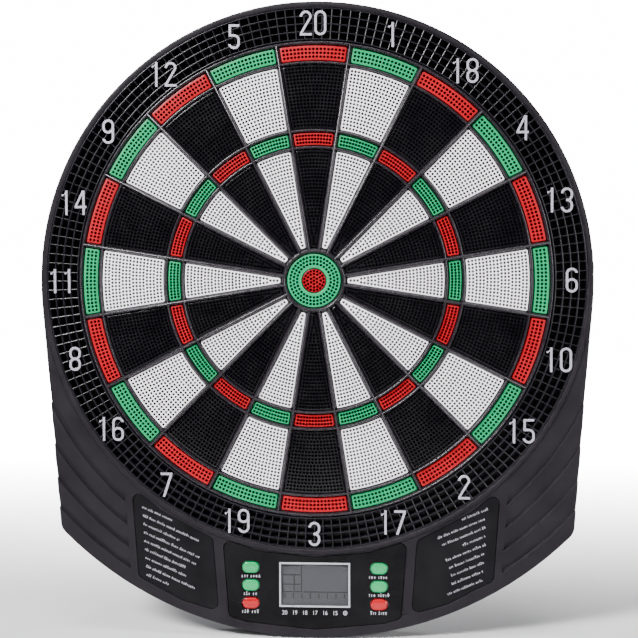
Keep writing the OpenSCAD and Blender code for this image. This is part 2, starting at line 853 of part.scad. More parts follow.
module rear_cover() {
    rim_in = wall + play;
    color("#2e2a31") stand() difference() {
        union() {
            slab(0, cover_t) outline(0.3);
            slab(cover_t - eps, cover_t + 4) difference() {
                outline(rim_in);
                outline(rim_in + 1.6);
            }
            at_each(RING_POSTS) disc(post_r + 2, 0, boss_top_z);
            at_each(SKIRT_POSTS) disc(post_r + 2, 0, boss_top_z);
            for (r = [45, 90, target_r - 45]) ring(r, r + 1.6, cover_t / 2, backing_z);
            translate([0, bay_y]) slab(cover_t / 2, board_z - 0.3)
                square([bay_w + 2 * bay_wall, bay_h + 2 * bay_wall], center = true);
            translate(speaker_at) ring(speaker_r + play, speaker_r + play + 1.4,
                cover_t / 2, cover_t + speaker_frame_t - 0.4);
        }
        translate([0, bay_y]) {
            slab(-1, bay_floor_z) square([bay_w, bay_h], center = true);
            slab(-1, cover_t) square([door_w + play, door_h + play], center = true);
        }
        for (s = [-1, 1]) translate([s * keyhole_spacing / 2, keyhole_y]) slab(-1, cover_t + 1) keyhole();
        for (k = [-2:2]) translate(speaker_at + [0, 4 * k]) slab(-1, cover_t + 1)
            stadium(2 * sqrt(pow(speaker_r - 3, 2) - pow(4 * k, 2)), 1.6);
        for (places = [RING_POSTS, SKIRT_POSTS]) at_each(places) {
            disc(screw_head_r + 0.6, -1, counterbore_z);
            disc(free_hole_r, counterbore_z - 1, boss_top_z + 1);
        }
    }
}

// A round-headed screw whose head's underside is at z, pointing forwards
module screw(z, length) {
    disc(screw_r, z - 0.2, z + length);
    difference() {
        disc(screw_head_r, z - screw_head_t, z);
        for (a = [0, 90]) rotate(a) translate([-screw_head_r * 0.55, -0.4, z - screw_head_t - 1])
            cube([screw_head_r * 1.1, 0.8, 2]);
    }
}

module cover_screws() {
    color("#9a9aa0") stand() for (places = [RING_POSTS, SKIRT_POSTS])
        at_each(places) screw(counterbore_z, 9);
}

module inner_screws() {
    color("#9a9aa0") stand() {
        at_each(WEB_SCREWS) screw(backing_z, catch_z + web_bite - 0.2 - backing_z);
        at_each(BOARD_SCREWS) screw(board_z, fascia_z - 1 - board_z);
    }
}

// ---- What is drawn ----

for (i = [0:len(NUMBERS) - 1])
    number_segments(i);
bull_outer();
bull_inner();
spider();
catch_ring();
number_ring();
front_housing();
rear_cover();
console_fascia();
lcd_bezel();
lcd_window();
lcd_glass();
lcd_connector();
rules_plate_left();
rules_plate_right();
option_button();
game_button();
power_button();
double_button();
player_button();
start_button();
keypad_left();
keypad_right();
main_board();
board_chips();
speaker();
return_pad();
sensor_film_upper();
film_spacer();
sensor_film_lower();
backing_plate();
ribbon_rows();
ribbon_columns();
battery_1();
battery_2();
battery_3();
battery_contacts();
battery_door();
wire_leads();
cover_screws();
inner_screws();
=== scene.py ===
# %% [markdown]
# # An electronic dartboard, dressed in Blender
# The board's exact shape arrives as a fixed frame of parts that already fit and move. This lesson
# gives that frame its looks: tiny holes in the segments, soft moulded edges, glossy keys and the
# light of a small studio. We load the frame first, because every size below is read off it.

# %% Load the frame
import json
import math
import random

import bmesh
import bpy
from mathutils import Matrix, Vector


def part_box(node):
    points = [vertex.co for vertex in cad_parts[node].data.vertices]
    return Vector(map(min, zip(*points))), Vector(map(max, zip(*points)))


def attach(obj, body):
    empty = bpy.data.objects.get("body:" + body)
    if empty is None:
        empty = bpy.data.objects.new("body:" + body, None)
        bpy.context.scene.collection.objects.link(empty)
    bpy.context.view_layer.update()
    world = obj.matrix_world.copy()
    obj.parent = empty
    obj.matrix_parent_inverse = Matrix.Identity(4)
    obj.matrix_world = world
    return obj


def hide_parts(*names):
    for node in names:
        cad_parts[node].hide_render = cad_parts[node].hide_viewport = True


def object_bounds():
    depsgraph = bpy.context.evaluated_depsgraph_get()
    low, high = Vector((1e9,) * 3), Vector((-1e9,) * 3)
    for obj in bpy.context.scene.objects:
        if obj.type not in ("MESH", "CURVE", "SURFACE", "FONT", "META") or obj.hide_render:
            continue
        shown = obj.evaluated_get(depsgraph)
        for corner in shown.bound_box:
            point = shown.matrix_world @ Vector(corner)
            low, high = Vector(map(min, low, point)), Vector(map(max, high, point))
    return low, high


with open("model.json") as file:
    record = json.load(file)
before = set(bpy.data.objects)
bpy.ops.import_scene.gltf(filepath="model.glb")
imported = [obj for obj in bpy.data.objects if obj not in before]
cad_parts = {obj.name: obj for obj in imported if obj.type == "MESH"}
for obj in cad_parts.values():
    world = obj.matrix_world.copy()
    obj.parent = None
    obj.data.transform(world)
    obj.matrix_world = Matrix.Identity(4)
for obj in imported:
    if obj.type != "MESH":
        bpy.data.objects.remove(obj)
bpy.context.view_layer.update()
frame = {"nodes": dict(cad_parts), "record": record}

# %% [markdown]
# ## Working flat, in millimetres
# A dartboard is easiest to draw lying on its back: x to the right, y up the board, and height
# off the wall as the third number. One matrix then stands the drawing up and turns it to metres,
# so no helper below ever has to think about the upright frame.

# %% Flat drawing to upright frame
MM = 0.001
STAND = Matrix.Scale(MM, 4) @ Matrix.Rotation(math.pi / 2, 4, "X")


def front_of(node):
    """Height of a part's front above the wall, in millimetres."""
    return -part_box(node)[0].y / MM


def back_of(node):
    return -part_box(node)[1].y / MM


def polar(r, clockwise):
    """A point at radius r, its angle measured clockwise from the top of the board."""
    return r * math.sin(clockwise), r * math.cos(clockwise)


def srgb(*channels):
    """Colour given on a 0 to 255 scale, made linear for the shader."""
    return [((c / 255 + 0.055) / 1.055) ** 2.4 if c > 10 else c / 255 / 12.92 for c in channels]


NUMBERS = [20, 1, 18, 4, 13, 6, 10, 15, 2, 17, 3, 19, 7, 16, 8, 11, 14, 9, 12, 5]
SLICE = math.tau / len(NUMBERS)
GAP = 4.0  # between neighbouring segments, where a rib stands
segment_top = front_of("segments_20")
segment_t = segment_top - back_of("segments_20")
print("segments stand", round(segment_top, 1), "mm off the wall and are", round(segment_t, 1),
      "thick")

# %% [markdown]
# ## Camera
# The board is seen almost square on, from a little right of centre and a little above it, with a
# longish lens so that it hardly tapers. The direction is given as two angles about a point on the
# board, and a tiny roll levels the view.

# %% Camera
AIM = Vector((0.003685, -0.025, -0.02843))
DISTANCE, LENS, SENSOR = 0.8994, 68.5, 36
AZIMUTH, ELEVATION, ROLL = math.radians(3.498), math.radians(2.319), math.radians(-0.141)
towards = Vector((math.sin(AZIMUTH) * math.cos(ELEVATION),
                  -math.cos(AZIMUTH) * math.cos(ELEVATION), math.sin(ELEVATION)))
side = Vector((0, 0, 1)).cross(towards).normalized()
top = towards.cross(side)
right = side * math.cos(ROLL) + top * math.sin(ROLL)
over = top * math.cos(ROLL) - side * math.sin(ROLL)
eye = bpy.data.cameras.new("eye")
eye.lens = LENS
eye.sensor_width = SENSOR
camera = bpy.data.objects.new("eye", eye)
camera.matrix_world = Matrix.Translation(AIM + towards * DISTANCE) @ Matrix(
    (right, over, towards)).transposed().to_4x4()
bpy.context.scene.collection.objects.link(camera)
bpy.context.scene.camera = camera
print("camera at", [round(c, 3) for c in camera.matrix_world.translation])

# %% [markdown]
# ## Moulded plastic
# Almost all of the board is injection-moulded plastic, and no real moulding is one flat colour.
# One recipe covers them all: a broad, faint cloud moves the colour and the gloss a little, and a
# fine grain lifts the surface as the texture of the mould does. Sizes are per metre, read from
# object coordinates, so the grain stays put when a part moves. Perforated parts also get painted
# shade: below their face the colour darkens, standing in for the shade inside their holes.

# %% Material helpers
TONE_SCALE, GLOSS_SCALE = 38, 160  # how fine the clouds of colour and of gloss are
GRAIN_DEPTH = 0.0002
# Painted shade for holes: the colour darkens between these depths below the face, to this much.
SHADE_FROM, SHADE_TO, SHADE = 0.02, 0.08, 0.97  # mm below the face, and how deep the shade gets
finishes = {}


def blank_finish(name):
    material = bpy.data.materials.new(name)
    material.use_nodes = True
    tree = material.node_tree
    shader = tree.nodes["Principled BSDF"]
    coords = tree.nodes.new("ShaderNodeTexCoord")
    return material, tree, shader, coords.outputs["Object"]


def add_node(tree, kind, settings=(), **inputs):
    """A node with its settings and input values; an input given as a socket is linked."""
    node = tree.nodes.new(kind)
    for key, value in dict(settings).items():
        setattr(node, key, value)
    for key, value in inputs.items():
        socket = node.inputs[int(key[1:])] if key[0] == "i" and key[1:].isdigit() else node.inputs[
            key.replace("_", " ")]
        if isinstance(value, bpy.types.NodeSocket):
            tree.links.new(value, socket)
        else:
            socket.default_value = value
    return node


def cloud(tree, coords, scale, low, high):
    """Soft noise, spread from low to high."""
    noise = add_node(tree, "ShaderNodeTexNoise", Vector=coords, Scale=scale, Detail=3.0)
    spread = add_node(tree, "ShaderNodeMapRange", Value=noise.outputs["Fac"], From_Min=0.3,
                      From_Max=0.7, To_Min=low, To_Max=high)
    return spread.outputs["Result"]


def mixed(tree, factor, a, b):
    """Colour a going over to colour b; either may be a socket."""
    node = tree.nodes.new("ShaderNodeMix")
    node.data_type = "RGBA"
    for socket, value in ((node.inputs[0], factor), (node.inputs[6], a), (node.inputs[7], b)):
        if isinstance(value, bpy.types.NodeSocket):
            tree.links.new(value, socket)
        else:
            socket.default_value = value if isinstance(value, float) else (*value[:3], 1)
    return node.outputs[2]


def moulded(name, colour, rough=0.42, vary=0.12, grain=2200, lift=0.12, metal=0.0, coat=0.0,
            shine=0.5, painted_shade_below=None):
    """Moulded plastic or paint. painted_shade_below is a height, in mm, under which the colour is
    darkened as painted shade.
    """
    material, tree, shader, coords = blank_finish(name)
    pale = [min(1, c * (1 + vary) + 0.004) for c in colour]
    deep = [c * (1 - vary) for c in colour]
    tone = mixed(tree, cloud(tree, coords, TONE_SCALE, 0.0, 1.0), deep, pale)
    # Painted shade: below the face the colour goes over to a twentieth of itself, standing in for
    # the shade inside holes and along the sides.
    if painted_shade_below is not None:
        height = add_node(tree, "ShaderNodeSeparateXYZ", Vector=coords).outputs["Y"]
        shade = add_node(tree, "ShaderNodeMapRange", Value=height,
                         From_Min=(SHADE_FROM - painted_shade_below) * MM,
                         From_Max=(SHADE_TO - painted_shade_below) * MM, To_Min=0.0, To_Max=SHADE)
        tone = mixed(tree, shade.outputs["Result"], tone, [c * 0.05 for c in colour])
    tree.links.new(tone, shader.inputs["Base Color"])
    gloss = cloud(tree, coords, GLOSS_SCALE, rough - 0.05, rough + 0.07)
    tree.links.new(gloss, shader.inputs["Roughness"])
    fine = add_node(tree, "ShaderNodeTexNoise", Vector=coords, Scale=grain, Detail=2.0)
    bump = add_node(tree, "ShaderNodeBump", Strength=lift, Distance=GRAIN_DEPTH,
                    Height=fine.outputs["Fac"])
    tree.links.new(bump.outputs["Normal"], shader.inputs["Normal"])
    shader.inputs["Metallic"].default_value = metal
    shader.inputs["Specular IOR Level"].default_value = shine
    shader.inputs["Coat Weight"].default_value = coat
    shader.inputs["Coat Roughness"].default_value = 0.08
    finishes[name] = material


# % Finishes of the plastic parts
# Perforated parts get little grain and painted shade below their face, for their holes and sides.
PERFORATED_PAINTED_SHADE = {"lift": 0.02, "painted_shade_below": segment_top}
moulded("segment_black", srgb(7, 5, 9), rough=0.2, shine=0.35, **PERFORATED_PAINTED_SHADE)
moulded("segment_white", srgb(250, 244, 250), rough=0.4, vary=0.03, **PERFORATED_PAINTED_SHADE)
for tint, colour in (("red", (156, 0, 16)), ("green", (0, 138, 84))):
    moulded("segment_" + tint, srgb(*colour), rough=0.36, vary=0.08, shine=0.25, **PERFORATED_PAINTED_SHADE)
for tint, colour in (("green", (0, 140, 88)), ("red", (146, 0, 14))):
    moulded("bull_" + tint, srgb(*colour), rough=0.34, vary=0.06, shine=0.25, **PERFORATED_PAINTED_SHADE)
moulded("web_grey", srgb(20, 15, 22), rough=0.27, vary=0.1, lift=0.02)
moulded("catch_black", srgb(22, 20, 26), rough=0.3, vary=0.15, lift=0.02, shine=0.25)
moulded("numeral_silver", srgb(168, 165, 178), rough=0.34, vary=0.05, lift=0.05, metal=0.25)
moulded("housing", srgb(19, 15, 21), rough=0.46, vary=0.1, grain=1500, lift=0.5, shine=0.18)
moulded("cover", srgb(26, 22, 28), rough=0.52, vary=0.1, grain=1500, lift=0.5, shine=0.3)
moulded("gloss_black", srgb(5, 4, 6), rough=0.14, vary=0.2, lift=0.02, shine=0.1)
moulded("bezel_silver", srgb(176, 176, 184), rough=0.3, vary=0.04, lift=0.04, metal=0.3)
moulded("plate_black", srgb(6, 5, 8), rough=0.42, vary=0.1, grain=1800, lift=0.2, shine=0.12)
moulded("button_green", srgb(0, 150, 86), rough=0.16, vary=0.06, lift=0.02)
moulded("button_red", srgb(160, 0, 10), rough=0.16, vary=0.06, lift=0.02)
moulded("silicone", srgb(214, 217, 216), rough=0.62, vary=0.04, lift=0.1)
moulded("circuit_board", srgb(28, 104, 62), rough=0.3, vary=0.12, lift=0.1, coat=0.4)
moulded("chip_black", srgb(36, 35, 38), rough=0.45)
moulded("speaker_grey", srgb(140, 140, 146), rough=0.4, metal=0.6, lift=0.1)
moulded("film", srgb(178, 200, 214), rough=0.25, vary=0.04, lift=0.03)
moulded("hardboard", srgb(136, 104, 76), rough=0.7, vary=0.2, grain=900, lift=0.6)
moulded("ribbon", srgb(204, 164, 84), rough=0.3, vary=0.06, lift=0.04)
moulded("cell_wrap", srgb(44, 104, 150), rough=0.25, vary=0.1, lift=0.02, metal=0.4)
moulded("spring_steel", srgb(200, 200, 204), rough=0.25, metal=1.0, vary=0.05, lift=0.05)
moulded("wire_red", srgb(184, 40, 40), rough=0.4, vary=0.06, lift=0.05)
moulded("screw_steel", srgb(104, 104, 110), rough=0.35, metal=1.0, vary=0.08, lift=0.15)
moulded("display_grey", srgb(90, 90, 95), rough=0.4, vary=0.03, lift=0.0, shine=0.1)
moulded("print_white", srgb(180, 179, 188), rough=0.5, vary=0.05, lift=0.05)
moulded("print_grey", srgb(24, 24, 27), rough=0.4, vary=0.05, lift=0.0)
print(len(finishes), "finishes")

# %% [markdown]
# The display's window is a clear pane. Real glass shaders are slow and dark in thin panes, so the
# pane is mostly see-through by its alpha, and keeps only its gloss.

# %% Clear window
pane, pane_tree, pane_shader, pane_coords = blank_finish("window_clear")
pane_shader.inputs["Base Color"].default_value = (0.02, 0.022, 0.022, 1)
pane_shader.inputs["Alpha"].default_value = 0.2
pane_shader.inputs["Specular IOR Level"].default_value = 0.1
pane_tree.links.new(cloud(pane_tree, pane_coords, 90, 0.04, 0.1), pane_shader.inputs["Roughness"])
finishes["window_clear"] = pane

# %% Every part of the frame gets its finish
for part in frame["record"]["subparts"]:
    node = frame["nodes"][part["node"]]
    if not node.data.materials:
        node.data.materials.append(finishes[part["material_slot"]])
    for holder in node.material_slots:
        holder.material = finishes[part["material_slot"]]

# %% [markdown]
# ## From flat mesh to finished piece
# Each piece is drawn with bmesh, lying flat. Then its normals are turned outwards, it is stood
# up, shaded smooth but for its sharp edges, and told which body it rides on and which plain part
# of the frame it takes the place of.

# %% Finish a piece
def make_piece(bm, name, slot, body, nodes=(), sharp=35, finish=None):
    bmesh.ops.recalc_face_normals(bm, faces=bm.faces)
    open_edges = sum(not e.is_manifold for e in bm.edges)
    bm.transform(STAND)
    mesh = bpy.data.meshes.new(name)
    bm.to_mesh(mesh)
    bm.free()
    mesh.shade_smooth()
    mesh.set_sharp_from_angle(angle=math.radians(sharp))
    mesh.materials.clear()
    mesh.materials.append(finishes[finish or slot])
    piece = bpy.data.objects.new(name, mesh)
    bpy.context.scene.collection.objects.link(piece)
    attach(piece, body)
    if nodes:
        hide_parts(*nodes)
    print(name, len(mesh.polygons), "faces", f"{open_edges} open edges" if open_edges else "")
    return piece


def shell(bm, loops, closed=False):
    """Skin between rings of points that all have the same count."""
    rings = [[bm.verts.new(p) for p in loop] for loop in loops]
    pairs = list(zip(rings, rings[1:])) + ([(rings[-1], rings[0])] if closed else [])
    for low, high in pairs:
        for k in range(len(low)):
            n = (k + 1) % len(low)
            bm.faces.new((low[k], low[n], high[n], high[k]))
    return rings


def soften(points, reach):
    """A closed outline with each corner cut back by reach and rounded."""
    out = []
    corners = [Vector(p) for p in points]
    for k, corner in enumerate(corners):
        before, after = corners[k - 1] - corner, corners[(k + 1) % len(corners)] - corner
        a = corner + before.normalized() * min(reach, before.length * 0.4)
        b = corner + after.normalized() * min(reach, after.length * 0.4)
        out += [a, (a + 2 * corner + b) / 4, b]
    return out


def lathe(bm, section, steps=180, centre=(0, 0)):
    """Turn a closed outline of (radius, height) about an axis."""
    loops = [[(centre[0] + r * math.cos(t), centre[1] + r * math.sin(t), h)
              for t in (math.tau * k / steps for k in range(steps))] for r, h in section]
    shell(bm, loops, closed=True)


def box_section(r0, r1, h0, h1):
    return [(r0, h0), (r1, h0), (r1, h1), (r0, h1)]


# %% [markdown]
# ## Geometry Nodes helpers
# A modifier keeps its inputs under identifiers, not names, so the helper that builds a tree hands
# back both. The result is read from the evaluated object as a plain mesh, and the modifier goes.

# %% Build and run a node tree
def new_tree(name, inputs):
    tree = bpy.data.node_groups.new(name, "GeometryNodeTree")
    tree.interface.new_socket("Geometry", in_out="INPUT", socket_type="NodeSocketGeometry")
    ids = {label: tree.interface.new_socket(label, in_out="INPUT", socket_type="NodeSocket" + kind)
           .identifier for label, kind in inputs.items()}
    tree.interface.new_socket("Geometry", in_out="OUTPUT", socket_type="NodeSocketGeometry")
    given = tree.nodes.new("NodeGroupInput").outputs
    result = tree.nodes.new("NodeGroupOutput").inputs["Geometry"]
    return tree, ids, given, result


def joined(tree, *geometries):
    node = tree.nodes.new("GeometryNodeJoinGeometry")
    for geometry in geometries:
        tree.links.new(geometry, node.inputs[0])
    return node.outputs[0]


def run_tree(mesh, tree, ids, values):
    """The mesh that a tree makes out of another mesh."""
    holder = bpy.data.objects.new("holder", mesh)
    bpy.context.scene.collection.objects.link(holder)
    modifier = holder.modifiers.new("nodes", "NODES")
    modifier.node_group = tree
    for label, value in values.items():
        modifier[ids[label]] = value
    graph = bpy.context.evaluated_depsgraph_get()
    made = bpy.data.meshes.new_from_object(holder.evaluated_get(graph))
    holder.modifiers.remove(modifier)
    bpy.data.objects.remove(holder)
    return made


# %% [markdown]
# ## Copies round a circle
# The catch ring has 180 thin walls, the web has 20 ribs, and both have posts for their screws. One
# tree serves them all: it takes a single copy, drawn pointing along x, and repeats it round a
# circle. Making the repeats by rule keeps them exact, and one number changes how many there are.

# %% Tree that repeats a shape round a circle
around, around_ids, given, result = new_tree(
    "copies_round_a_circle", {"Count": "Int", "Radius": "Float", "Start": "Float",
                              "Material": "Material"})
circle = add_node(around, "GeometryNodeMeshCircle", Vertices=given["Count"], Radius=given["Radius"])
step = add_node(around, "ShaderNodeMath", {"operation": "DIVIDE"}, i0=math.tau, i1=given["Count"])
index = add_node(around, "GeometryNodeInputIndex")
turned = add_node(around, "ShaderNodeMath", {"operation": "MULTIPLY_ADD"},
                  i0=index.outputs[0], i1=step.outputs[0], i2=0.0)
angle = add_node(around, "ShaderNodeCombineXYZ", Z=turned.outputs[0])
copies = add_node(around, "GeometryNodeInstanceOnPoints", Points=circle.outputs["Mesh"],
                  Instance=given["Geometry"], Rotation=angle.outputs[0])
start = add_node(around, "ShaderNodeCombineXYZ", Z=given["Start"])
moved = add_node(around, "GeometryNodeTransform", Geometry=copies.outputs[0],
                 Rotation=start.outputs[0])
real = add_node(around, "GeometryNodeRealizeInstances", Geometry=moved.outputs[0])
painted = add_node(around, "GeometryNodeSetMaterial", Geometry=real.outputs[0],
                   Material=given["Material"])
around.links.new(painted.outputs[0], result)


def copies_round(bm, one, count, radius, start_degrees, material):
    """Add copies of the bmesh `one` to bm, round a circle."""
    mesh = bpy.data.meshes.new("one")
    one.to_mesh(mesh)
    one.free()
    made = run_tree(mesh, around, around_ids, {
        "Count": count, "Radius": float(radius), "Start": math.radians(start_degrees),
        "Material": finishes[material]})
    bm.from_mesh(made)
    print(count, "copies of", len(mesh.polygons), "faces")


# %% [markdown]
# ## Segments full of holes
# A soft-tip dart holds because its plastic tip slides into one of several thousand small holes.
# The holes could be painted on, but they would have no depth, and thousands of booleans would be
# slow. So a tree draws a circle at each hole's place, fills the outline between the circles, and
# hangs a small open tube with a chamfered mouth and a closed end from each circle.

# %% Tree that perforates an outline
HOLE_SIDES = 8
punch, punch_ids, given, result = new_tree(
    "perforate", {"Mouth": "Float", "Bore": "Float", "Chamfer": "Float", "Depth": "Float",
                  "Material": "Material"})
outline = add_node(punch, "GeometryNodeMeshToCurve", Mesh=given["Geometry"])
marked = add_node(punch, "GeometryNodeInputNamedAttribute", {"data_type": "BOOLEAN"}, Name="hole")
marks = add_node(punch, "GeometryNodeMeshToPoints", Mesh=given["Geometry"],
                 Selection=marked.outputs["Attribute"])
mouth = add_node(punch, "GeometryNodeCurvePrimitiveCircle", Resolution=HOLE_SIDES,
                 Radius=given["Mouth"])
mouths = add_node(punch, "GeometryNodeInstanceOnPoints", Points=marks.outputs[0],
                  Instance=mouth.outputs["Curve"])
mouths = add_node(punch, "GeometryNodeRealizeInstances", Geometry=mouths.outputs[0])
face = add_node(punch, "GeometryNodeFillCurve", Curve=joined(punch, outline.outputs[0],
                                                             mouths.outputs[0]))
chamfer = add_node(punch, "GeometryNodeMeshCone", {"fill_type": "NONE"}, Vertices=HOLE_SIDES,
                   Radius_Top=given["Mouth"], Radius_Bottom=given["Bore"], Depth=given["Chamfer"])
tube = add_node(punch, "GeometryNodeMeshCylinder", {"fill_type": "NONE"}, Vertices=HOLE_SIDES,
                Radius=given["Bore"], Depth=given["Depth"])
floor = add_node(punch, "GeometryNodeMeshCircle", {"fill_type": "NGON"}, Vertices=HOLE_SIDES,
                 Radius=given["Bore"])


def sunk(geometry, *parts):
    """Lower a piece of a tree by the sum of some heights, each with its factor."""
    total = 0.0
    for socket, factor in parts:
        total = add_node(punch, "ShaderNodeMath", {"operation": "MULTIPLY_ADD"},
                         i0=socket, i1=-factor, i2=total).outputs[0]
    place = add_node(punch, "ShaderNodeCombineXYZ", Z=total)
    return add_node(punch, "GeometryNodeTransform", Geometry=geometry,
                    Translation=place.outputs[0]).outputs[0]


hole = joined(punch, sunk(chamfer.outputs["Mesh"], (given["Chamfer"], 1.0)),
              sunk(tube.outputs["Mesh"], (given["Chamfer"], 1.0), (given["Depth"], 0.5)),
              sunk(floor.outputs["Mesh"], (given["Chamfer"], 1.0), (given["Depth"], 1.0)))
holes = add_node(punch, "GeometryNodeInstanceOnPoints", Points=marks.outputs[0], Instance=hole)
real = add_node(punch, "GeometryNodeRealizeInstances",
                Geometry=joined(punch, face.outputs[0], holes.outputs[0]))
welded = add_node(punch, "GeometryNodeMergeByDistance", Geometry=real.outputs[0], Distance=0.002)
painted = add_node(punch, "GeometryNodeSetMaterial", Geometry=welded.outputs[0],
                   Material=given["Material"])
punch.links.new(painted.outputs[0], result)
HOLE = {"Mouth": 1.05, "Bore": 1.0, "Chamfer": 0.06, "Depth": 3.4}


def perforated(outlines, hole_places, loops, material):
    """A closed bmesh: a perforated face at height 0, and the skin that hangs from its outlines."""
    flat = bmesh.new()
    flag = flat.verts.layers.bool.new("hole")
    for line in outlines:
        verts = [flat.verts.new((x, y, 0)) for x, y in line]
        for k, v in enumerate(verts):
            flat.edges.new((v, verts[(k + 1) % len(verts)]))
    for x, y in hole_places:
        flat.verts.new((x, y, 0))[flag] = True
    mesh = bpy.data.meshes.new("flat")
    flat.to_mesh(mesh)
    flat.free()
    made = run_tree(mesh, punch, punch_ids, {**HOLE, "Material": finishes[material]})
    bm = bmesh.new()
    bm.from_mesh(made)
    rings = shell(bm, loops)
    if len(outlines) == 1:
        bm.faces.new(rings[-1])
    bmesh.ops.remove_doubles(bm, verts=bm.verts, dist=0.004)
    return bm


# %% [markdown]
# A segment's outline is part of a ring whose two sides run parallel to the ribs, so that the gap
# between neighbours has the same width all along. The corners are rounded. The same function
# draws the outline drawn in or out by any amount, always with the same number of points, which is
# what lets the skin run from the soft top edge down to the wide flange that holds it in.

# %% Outline and holes of a segment
INNER_STEPS, OUTER_STEPS, CORNER = 6, 18, 0.8


def segment_outline(r0, r1, inset):
    r0, r1, half_gap = r0 + inset, r1 - inset, GAP / 2 + inset

    def arc(r, steps):
        edge = SLICE / 2 - math.asin(half_gap / r)
        reach = edge - CORNER / r
        return edge, [polar(r, reach * (2 * k / steps - 1)) for k in range(steps + 1)]

    edge0, inner = arc(r0, INNER_STEPS)
    edge1, outer = arc(r1, OUTER_STEPS)

    def turn(start, r, edge, other_r, other_edge):
        tip, far = Vector(polar(r, edge)), Vector(polar(other_r, other_edge))
        end = tip + (far - tip).normalized() * CORNER
        return [tuple((Vector(start) + 2 * tip + end) / 4), tuple(end)]

    out = list(inner)
    out += turn(inner[-1], r0, edge0, r1, edge1)
    out += turn(outer[-1], r1, edge1, r0, edge0)[::-1] + outer[::-1]
    out += turn(outer[0], r1, -edge1, r0, -edge0)
    out += turn(inner[0], r0, -edge0, r1, -edge1)[::-1]
    return out


CLOSEST = 2.12


def hole_rows(r_first, r_last, rows, count_first, count_last, margin):
    """Places of holes in rows; no two in a row are nearer to each other than CLOSEST."""
    places = []
    for k in range(rows):
        r = r_first + (r_last - r_first) * k / (rows - 1)
        count = round(count_first + (count_last - count_first) * k / (rows - 1))
        reach = SLICE / 2 - math.asin((GAP / 2 + margin) / r)
        count = min(count, int(2 * reach * r / CLOSEST) + 1)
        for n in range(count):
            places.append(polar(r, reach * (2 * n / (count - 1) - 1) if count > 1 else 0.0))
    return places


FLANGE_OUT, FLANGE_T = 1.3, 1.4
TOP_EDGE = 0.35


def segment(r0, r1, holes, material):
    levels = [(TOP_EDGE, 0), (TOP_EDGE * 0.3, -TOP_EDGE * 0.3), (0, -TOP_EDGE),
              (0, FLANGE_T - segment_t), (-FLANGE_OUT, FLANGE_T - segment_t),
              (-FLANGE_OUT, -segment_t)]
    loops = [[(x, y, h) for x, y in segment_outline(r0, r1, inset)] for inset, h in levels]
    return perforated([segment_outline(r0, r1, TOP_EDGE)], holes, loops, material)


# %% [markdown]
# There are four kinds of segment. Each line below gives a kind's inner and outer radius and then
# its rows of holes: the first and last row's radius, the number of rows, the holes in the first
# and in the last row, and the room left at a row's ends.

# %% Four kinds of segment, made once each
KINDS = {
    "inner": (24.8, 96.4, (27.2, 94.3, 27, 1, 10, 2.1), "segment_white"),
    "triple": (99.9, 108.9, (101.9, 106.9, 3, 12, 12, 2.2), "segment_red"),
    "outer": (112.4, 158.4, (114.6, 156.2, 17, 12, 17, 2.1), "segment_white"),
    "double": (161.8, 172.8, (164.5, 170.1, 3, 17, 17, 2.4), "segment_red"),
}
kinds = {kind: segment(r0, r1, hole_rows(*rows), finish)
         for kind, (r0, r1, rows, finish) in KINDS.items()}
for kind, bm in kinds.items():
    print(kind, len(bm.faces), "faces", sum(not e.is_manifold for e in bm.edges), "open edges")

# %% Place them for all twenty numbers
for place, number in enumerate(NUMBERS):
    singles, rings = ("black", "red") if place % 2 == 0 else ("white", "green")
    turn_to = Matrix.Translation((0, 0, segment_top)) @ Matrix.Rotation(-SLICE * place, 4, "Z")
    for label, pair, slot in (("singles", ("inner", "outer"), "segment_" + singles),
                              ("rings", ("triple", "double"), "segment_" + rings)):
        bm = bmesh.new()
        for kind in pair:
            copy = bpy.data.meshes.new("copy")
            kinds[kind].to_mesh(copy)
            bm.from_mesh(copy)
            bpy.data.meshes.remove(copy)
        bm.transform(turn_to)
        make_piece(bm, f"{label}_{number}", slot, f"number_{number}", [f"segments_{number}"])

# %% [markdown]
# ## The two bulls
# The outer bull is a perforated ring with a smooth lip round its hole, and the inner bull is a
# small perforated disc. Their holes lie on circles instead of rows, so only the places differ;
# the same tree punches them.

# %% Bulls
BULL_STEPS = 96


def circle_at(r):
    return [polar(r, math.tau * k / BULL_STEPS) for k in range(BULL_STEPS)]


def circle_loops(levels):
    return [[(x, y, h) for x, y in circle_at(r)] for r, h in levels]


def hole_circles(*rows):
    return [polar(r, math.tau * k / count) for r, count in rows for k in range(count)]


edge, bend = TOP_EDGE, TOP_EDGE * 0.3
RING_R, RING_IN, RING_STEP_R, RING_FLANGE_R = 19.9, 9.1, 11.0, 21.2
DISC_R, DISC_FLANGE_R, BULL_FOOT = 8.7, 10.5, -10
outer_bull = perforated(
    [circle_at(RING_R - edge), circle_at(RING_IN + edge)],
    hole_circles((12.5, 30), (15.0, 36), (17.5, 42)),
    circle_loops([(RING_R - edge, 0), (RING_R - bend, -bend), (RING_R, -edge), (RING_R, -8.6),
                  (RING_FLANGE_R, -8.6), (RING_FLANGE_R, BULL_FOOT), (RING_STEP_R, BULL_FOOT),
                  (RING_STEP_R, -7.0), (RING_IN, -7.0), (RING_IN, -edge), (RING_IN + bend, -bend),
                  (RING_IN + edge, 0)]), "bull_green")
inner_bull = perforated(
    [circle_at(DISC_R - edge)], [(0, 0)] + hole_circles((2.5, 6), (5.0, 12), (7.2, 18)),
    circle_loops([(DISC_R - edge, 0), (DISC_R - bend, -bend), (DISC_R, -edge), (DISC_R, -8.8),
                  (DISC_FLANGE_R, -8.8), (DISC_FLANGE_R, BULL_FOOT)]), "bull_red")
for bm, name, slot in ((outer_bull, "outer_bull", "bull_green"),
                       (inner_bull, "inner_bull", "bull_red")):
    bm.transform(Matrix.Translation((0, 0, segment_top)))
    make_piece(bm, name + "_holes", slot, name, ["bull_" + name.split("_")[0]])

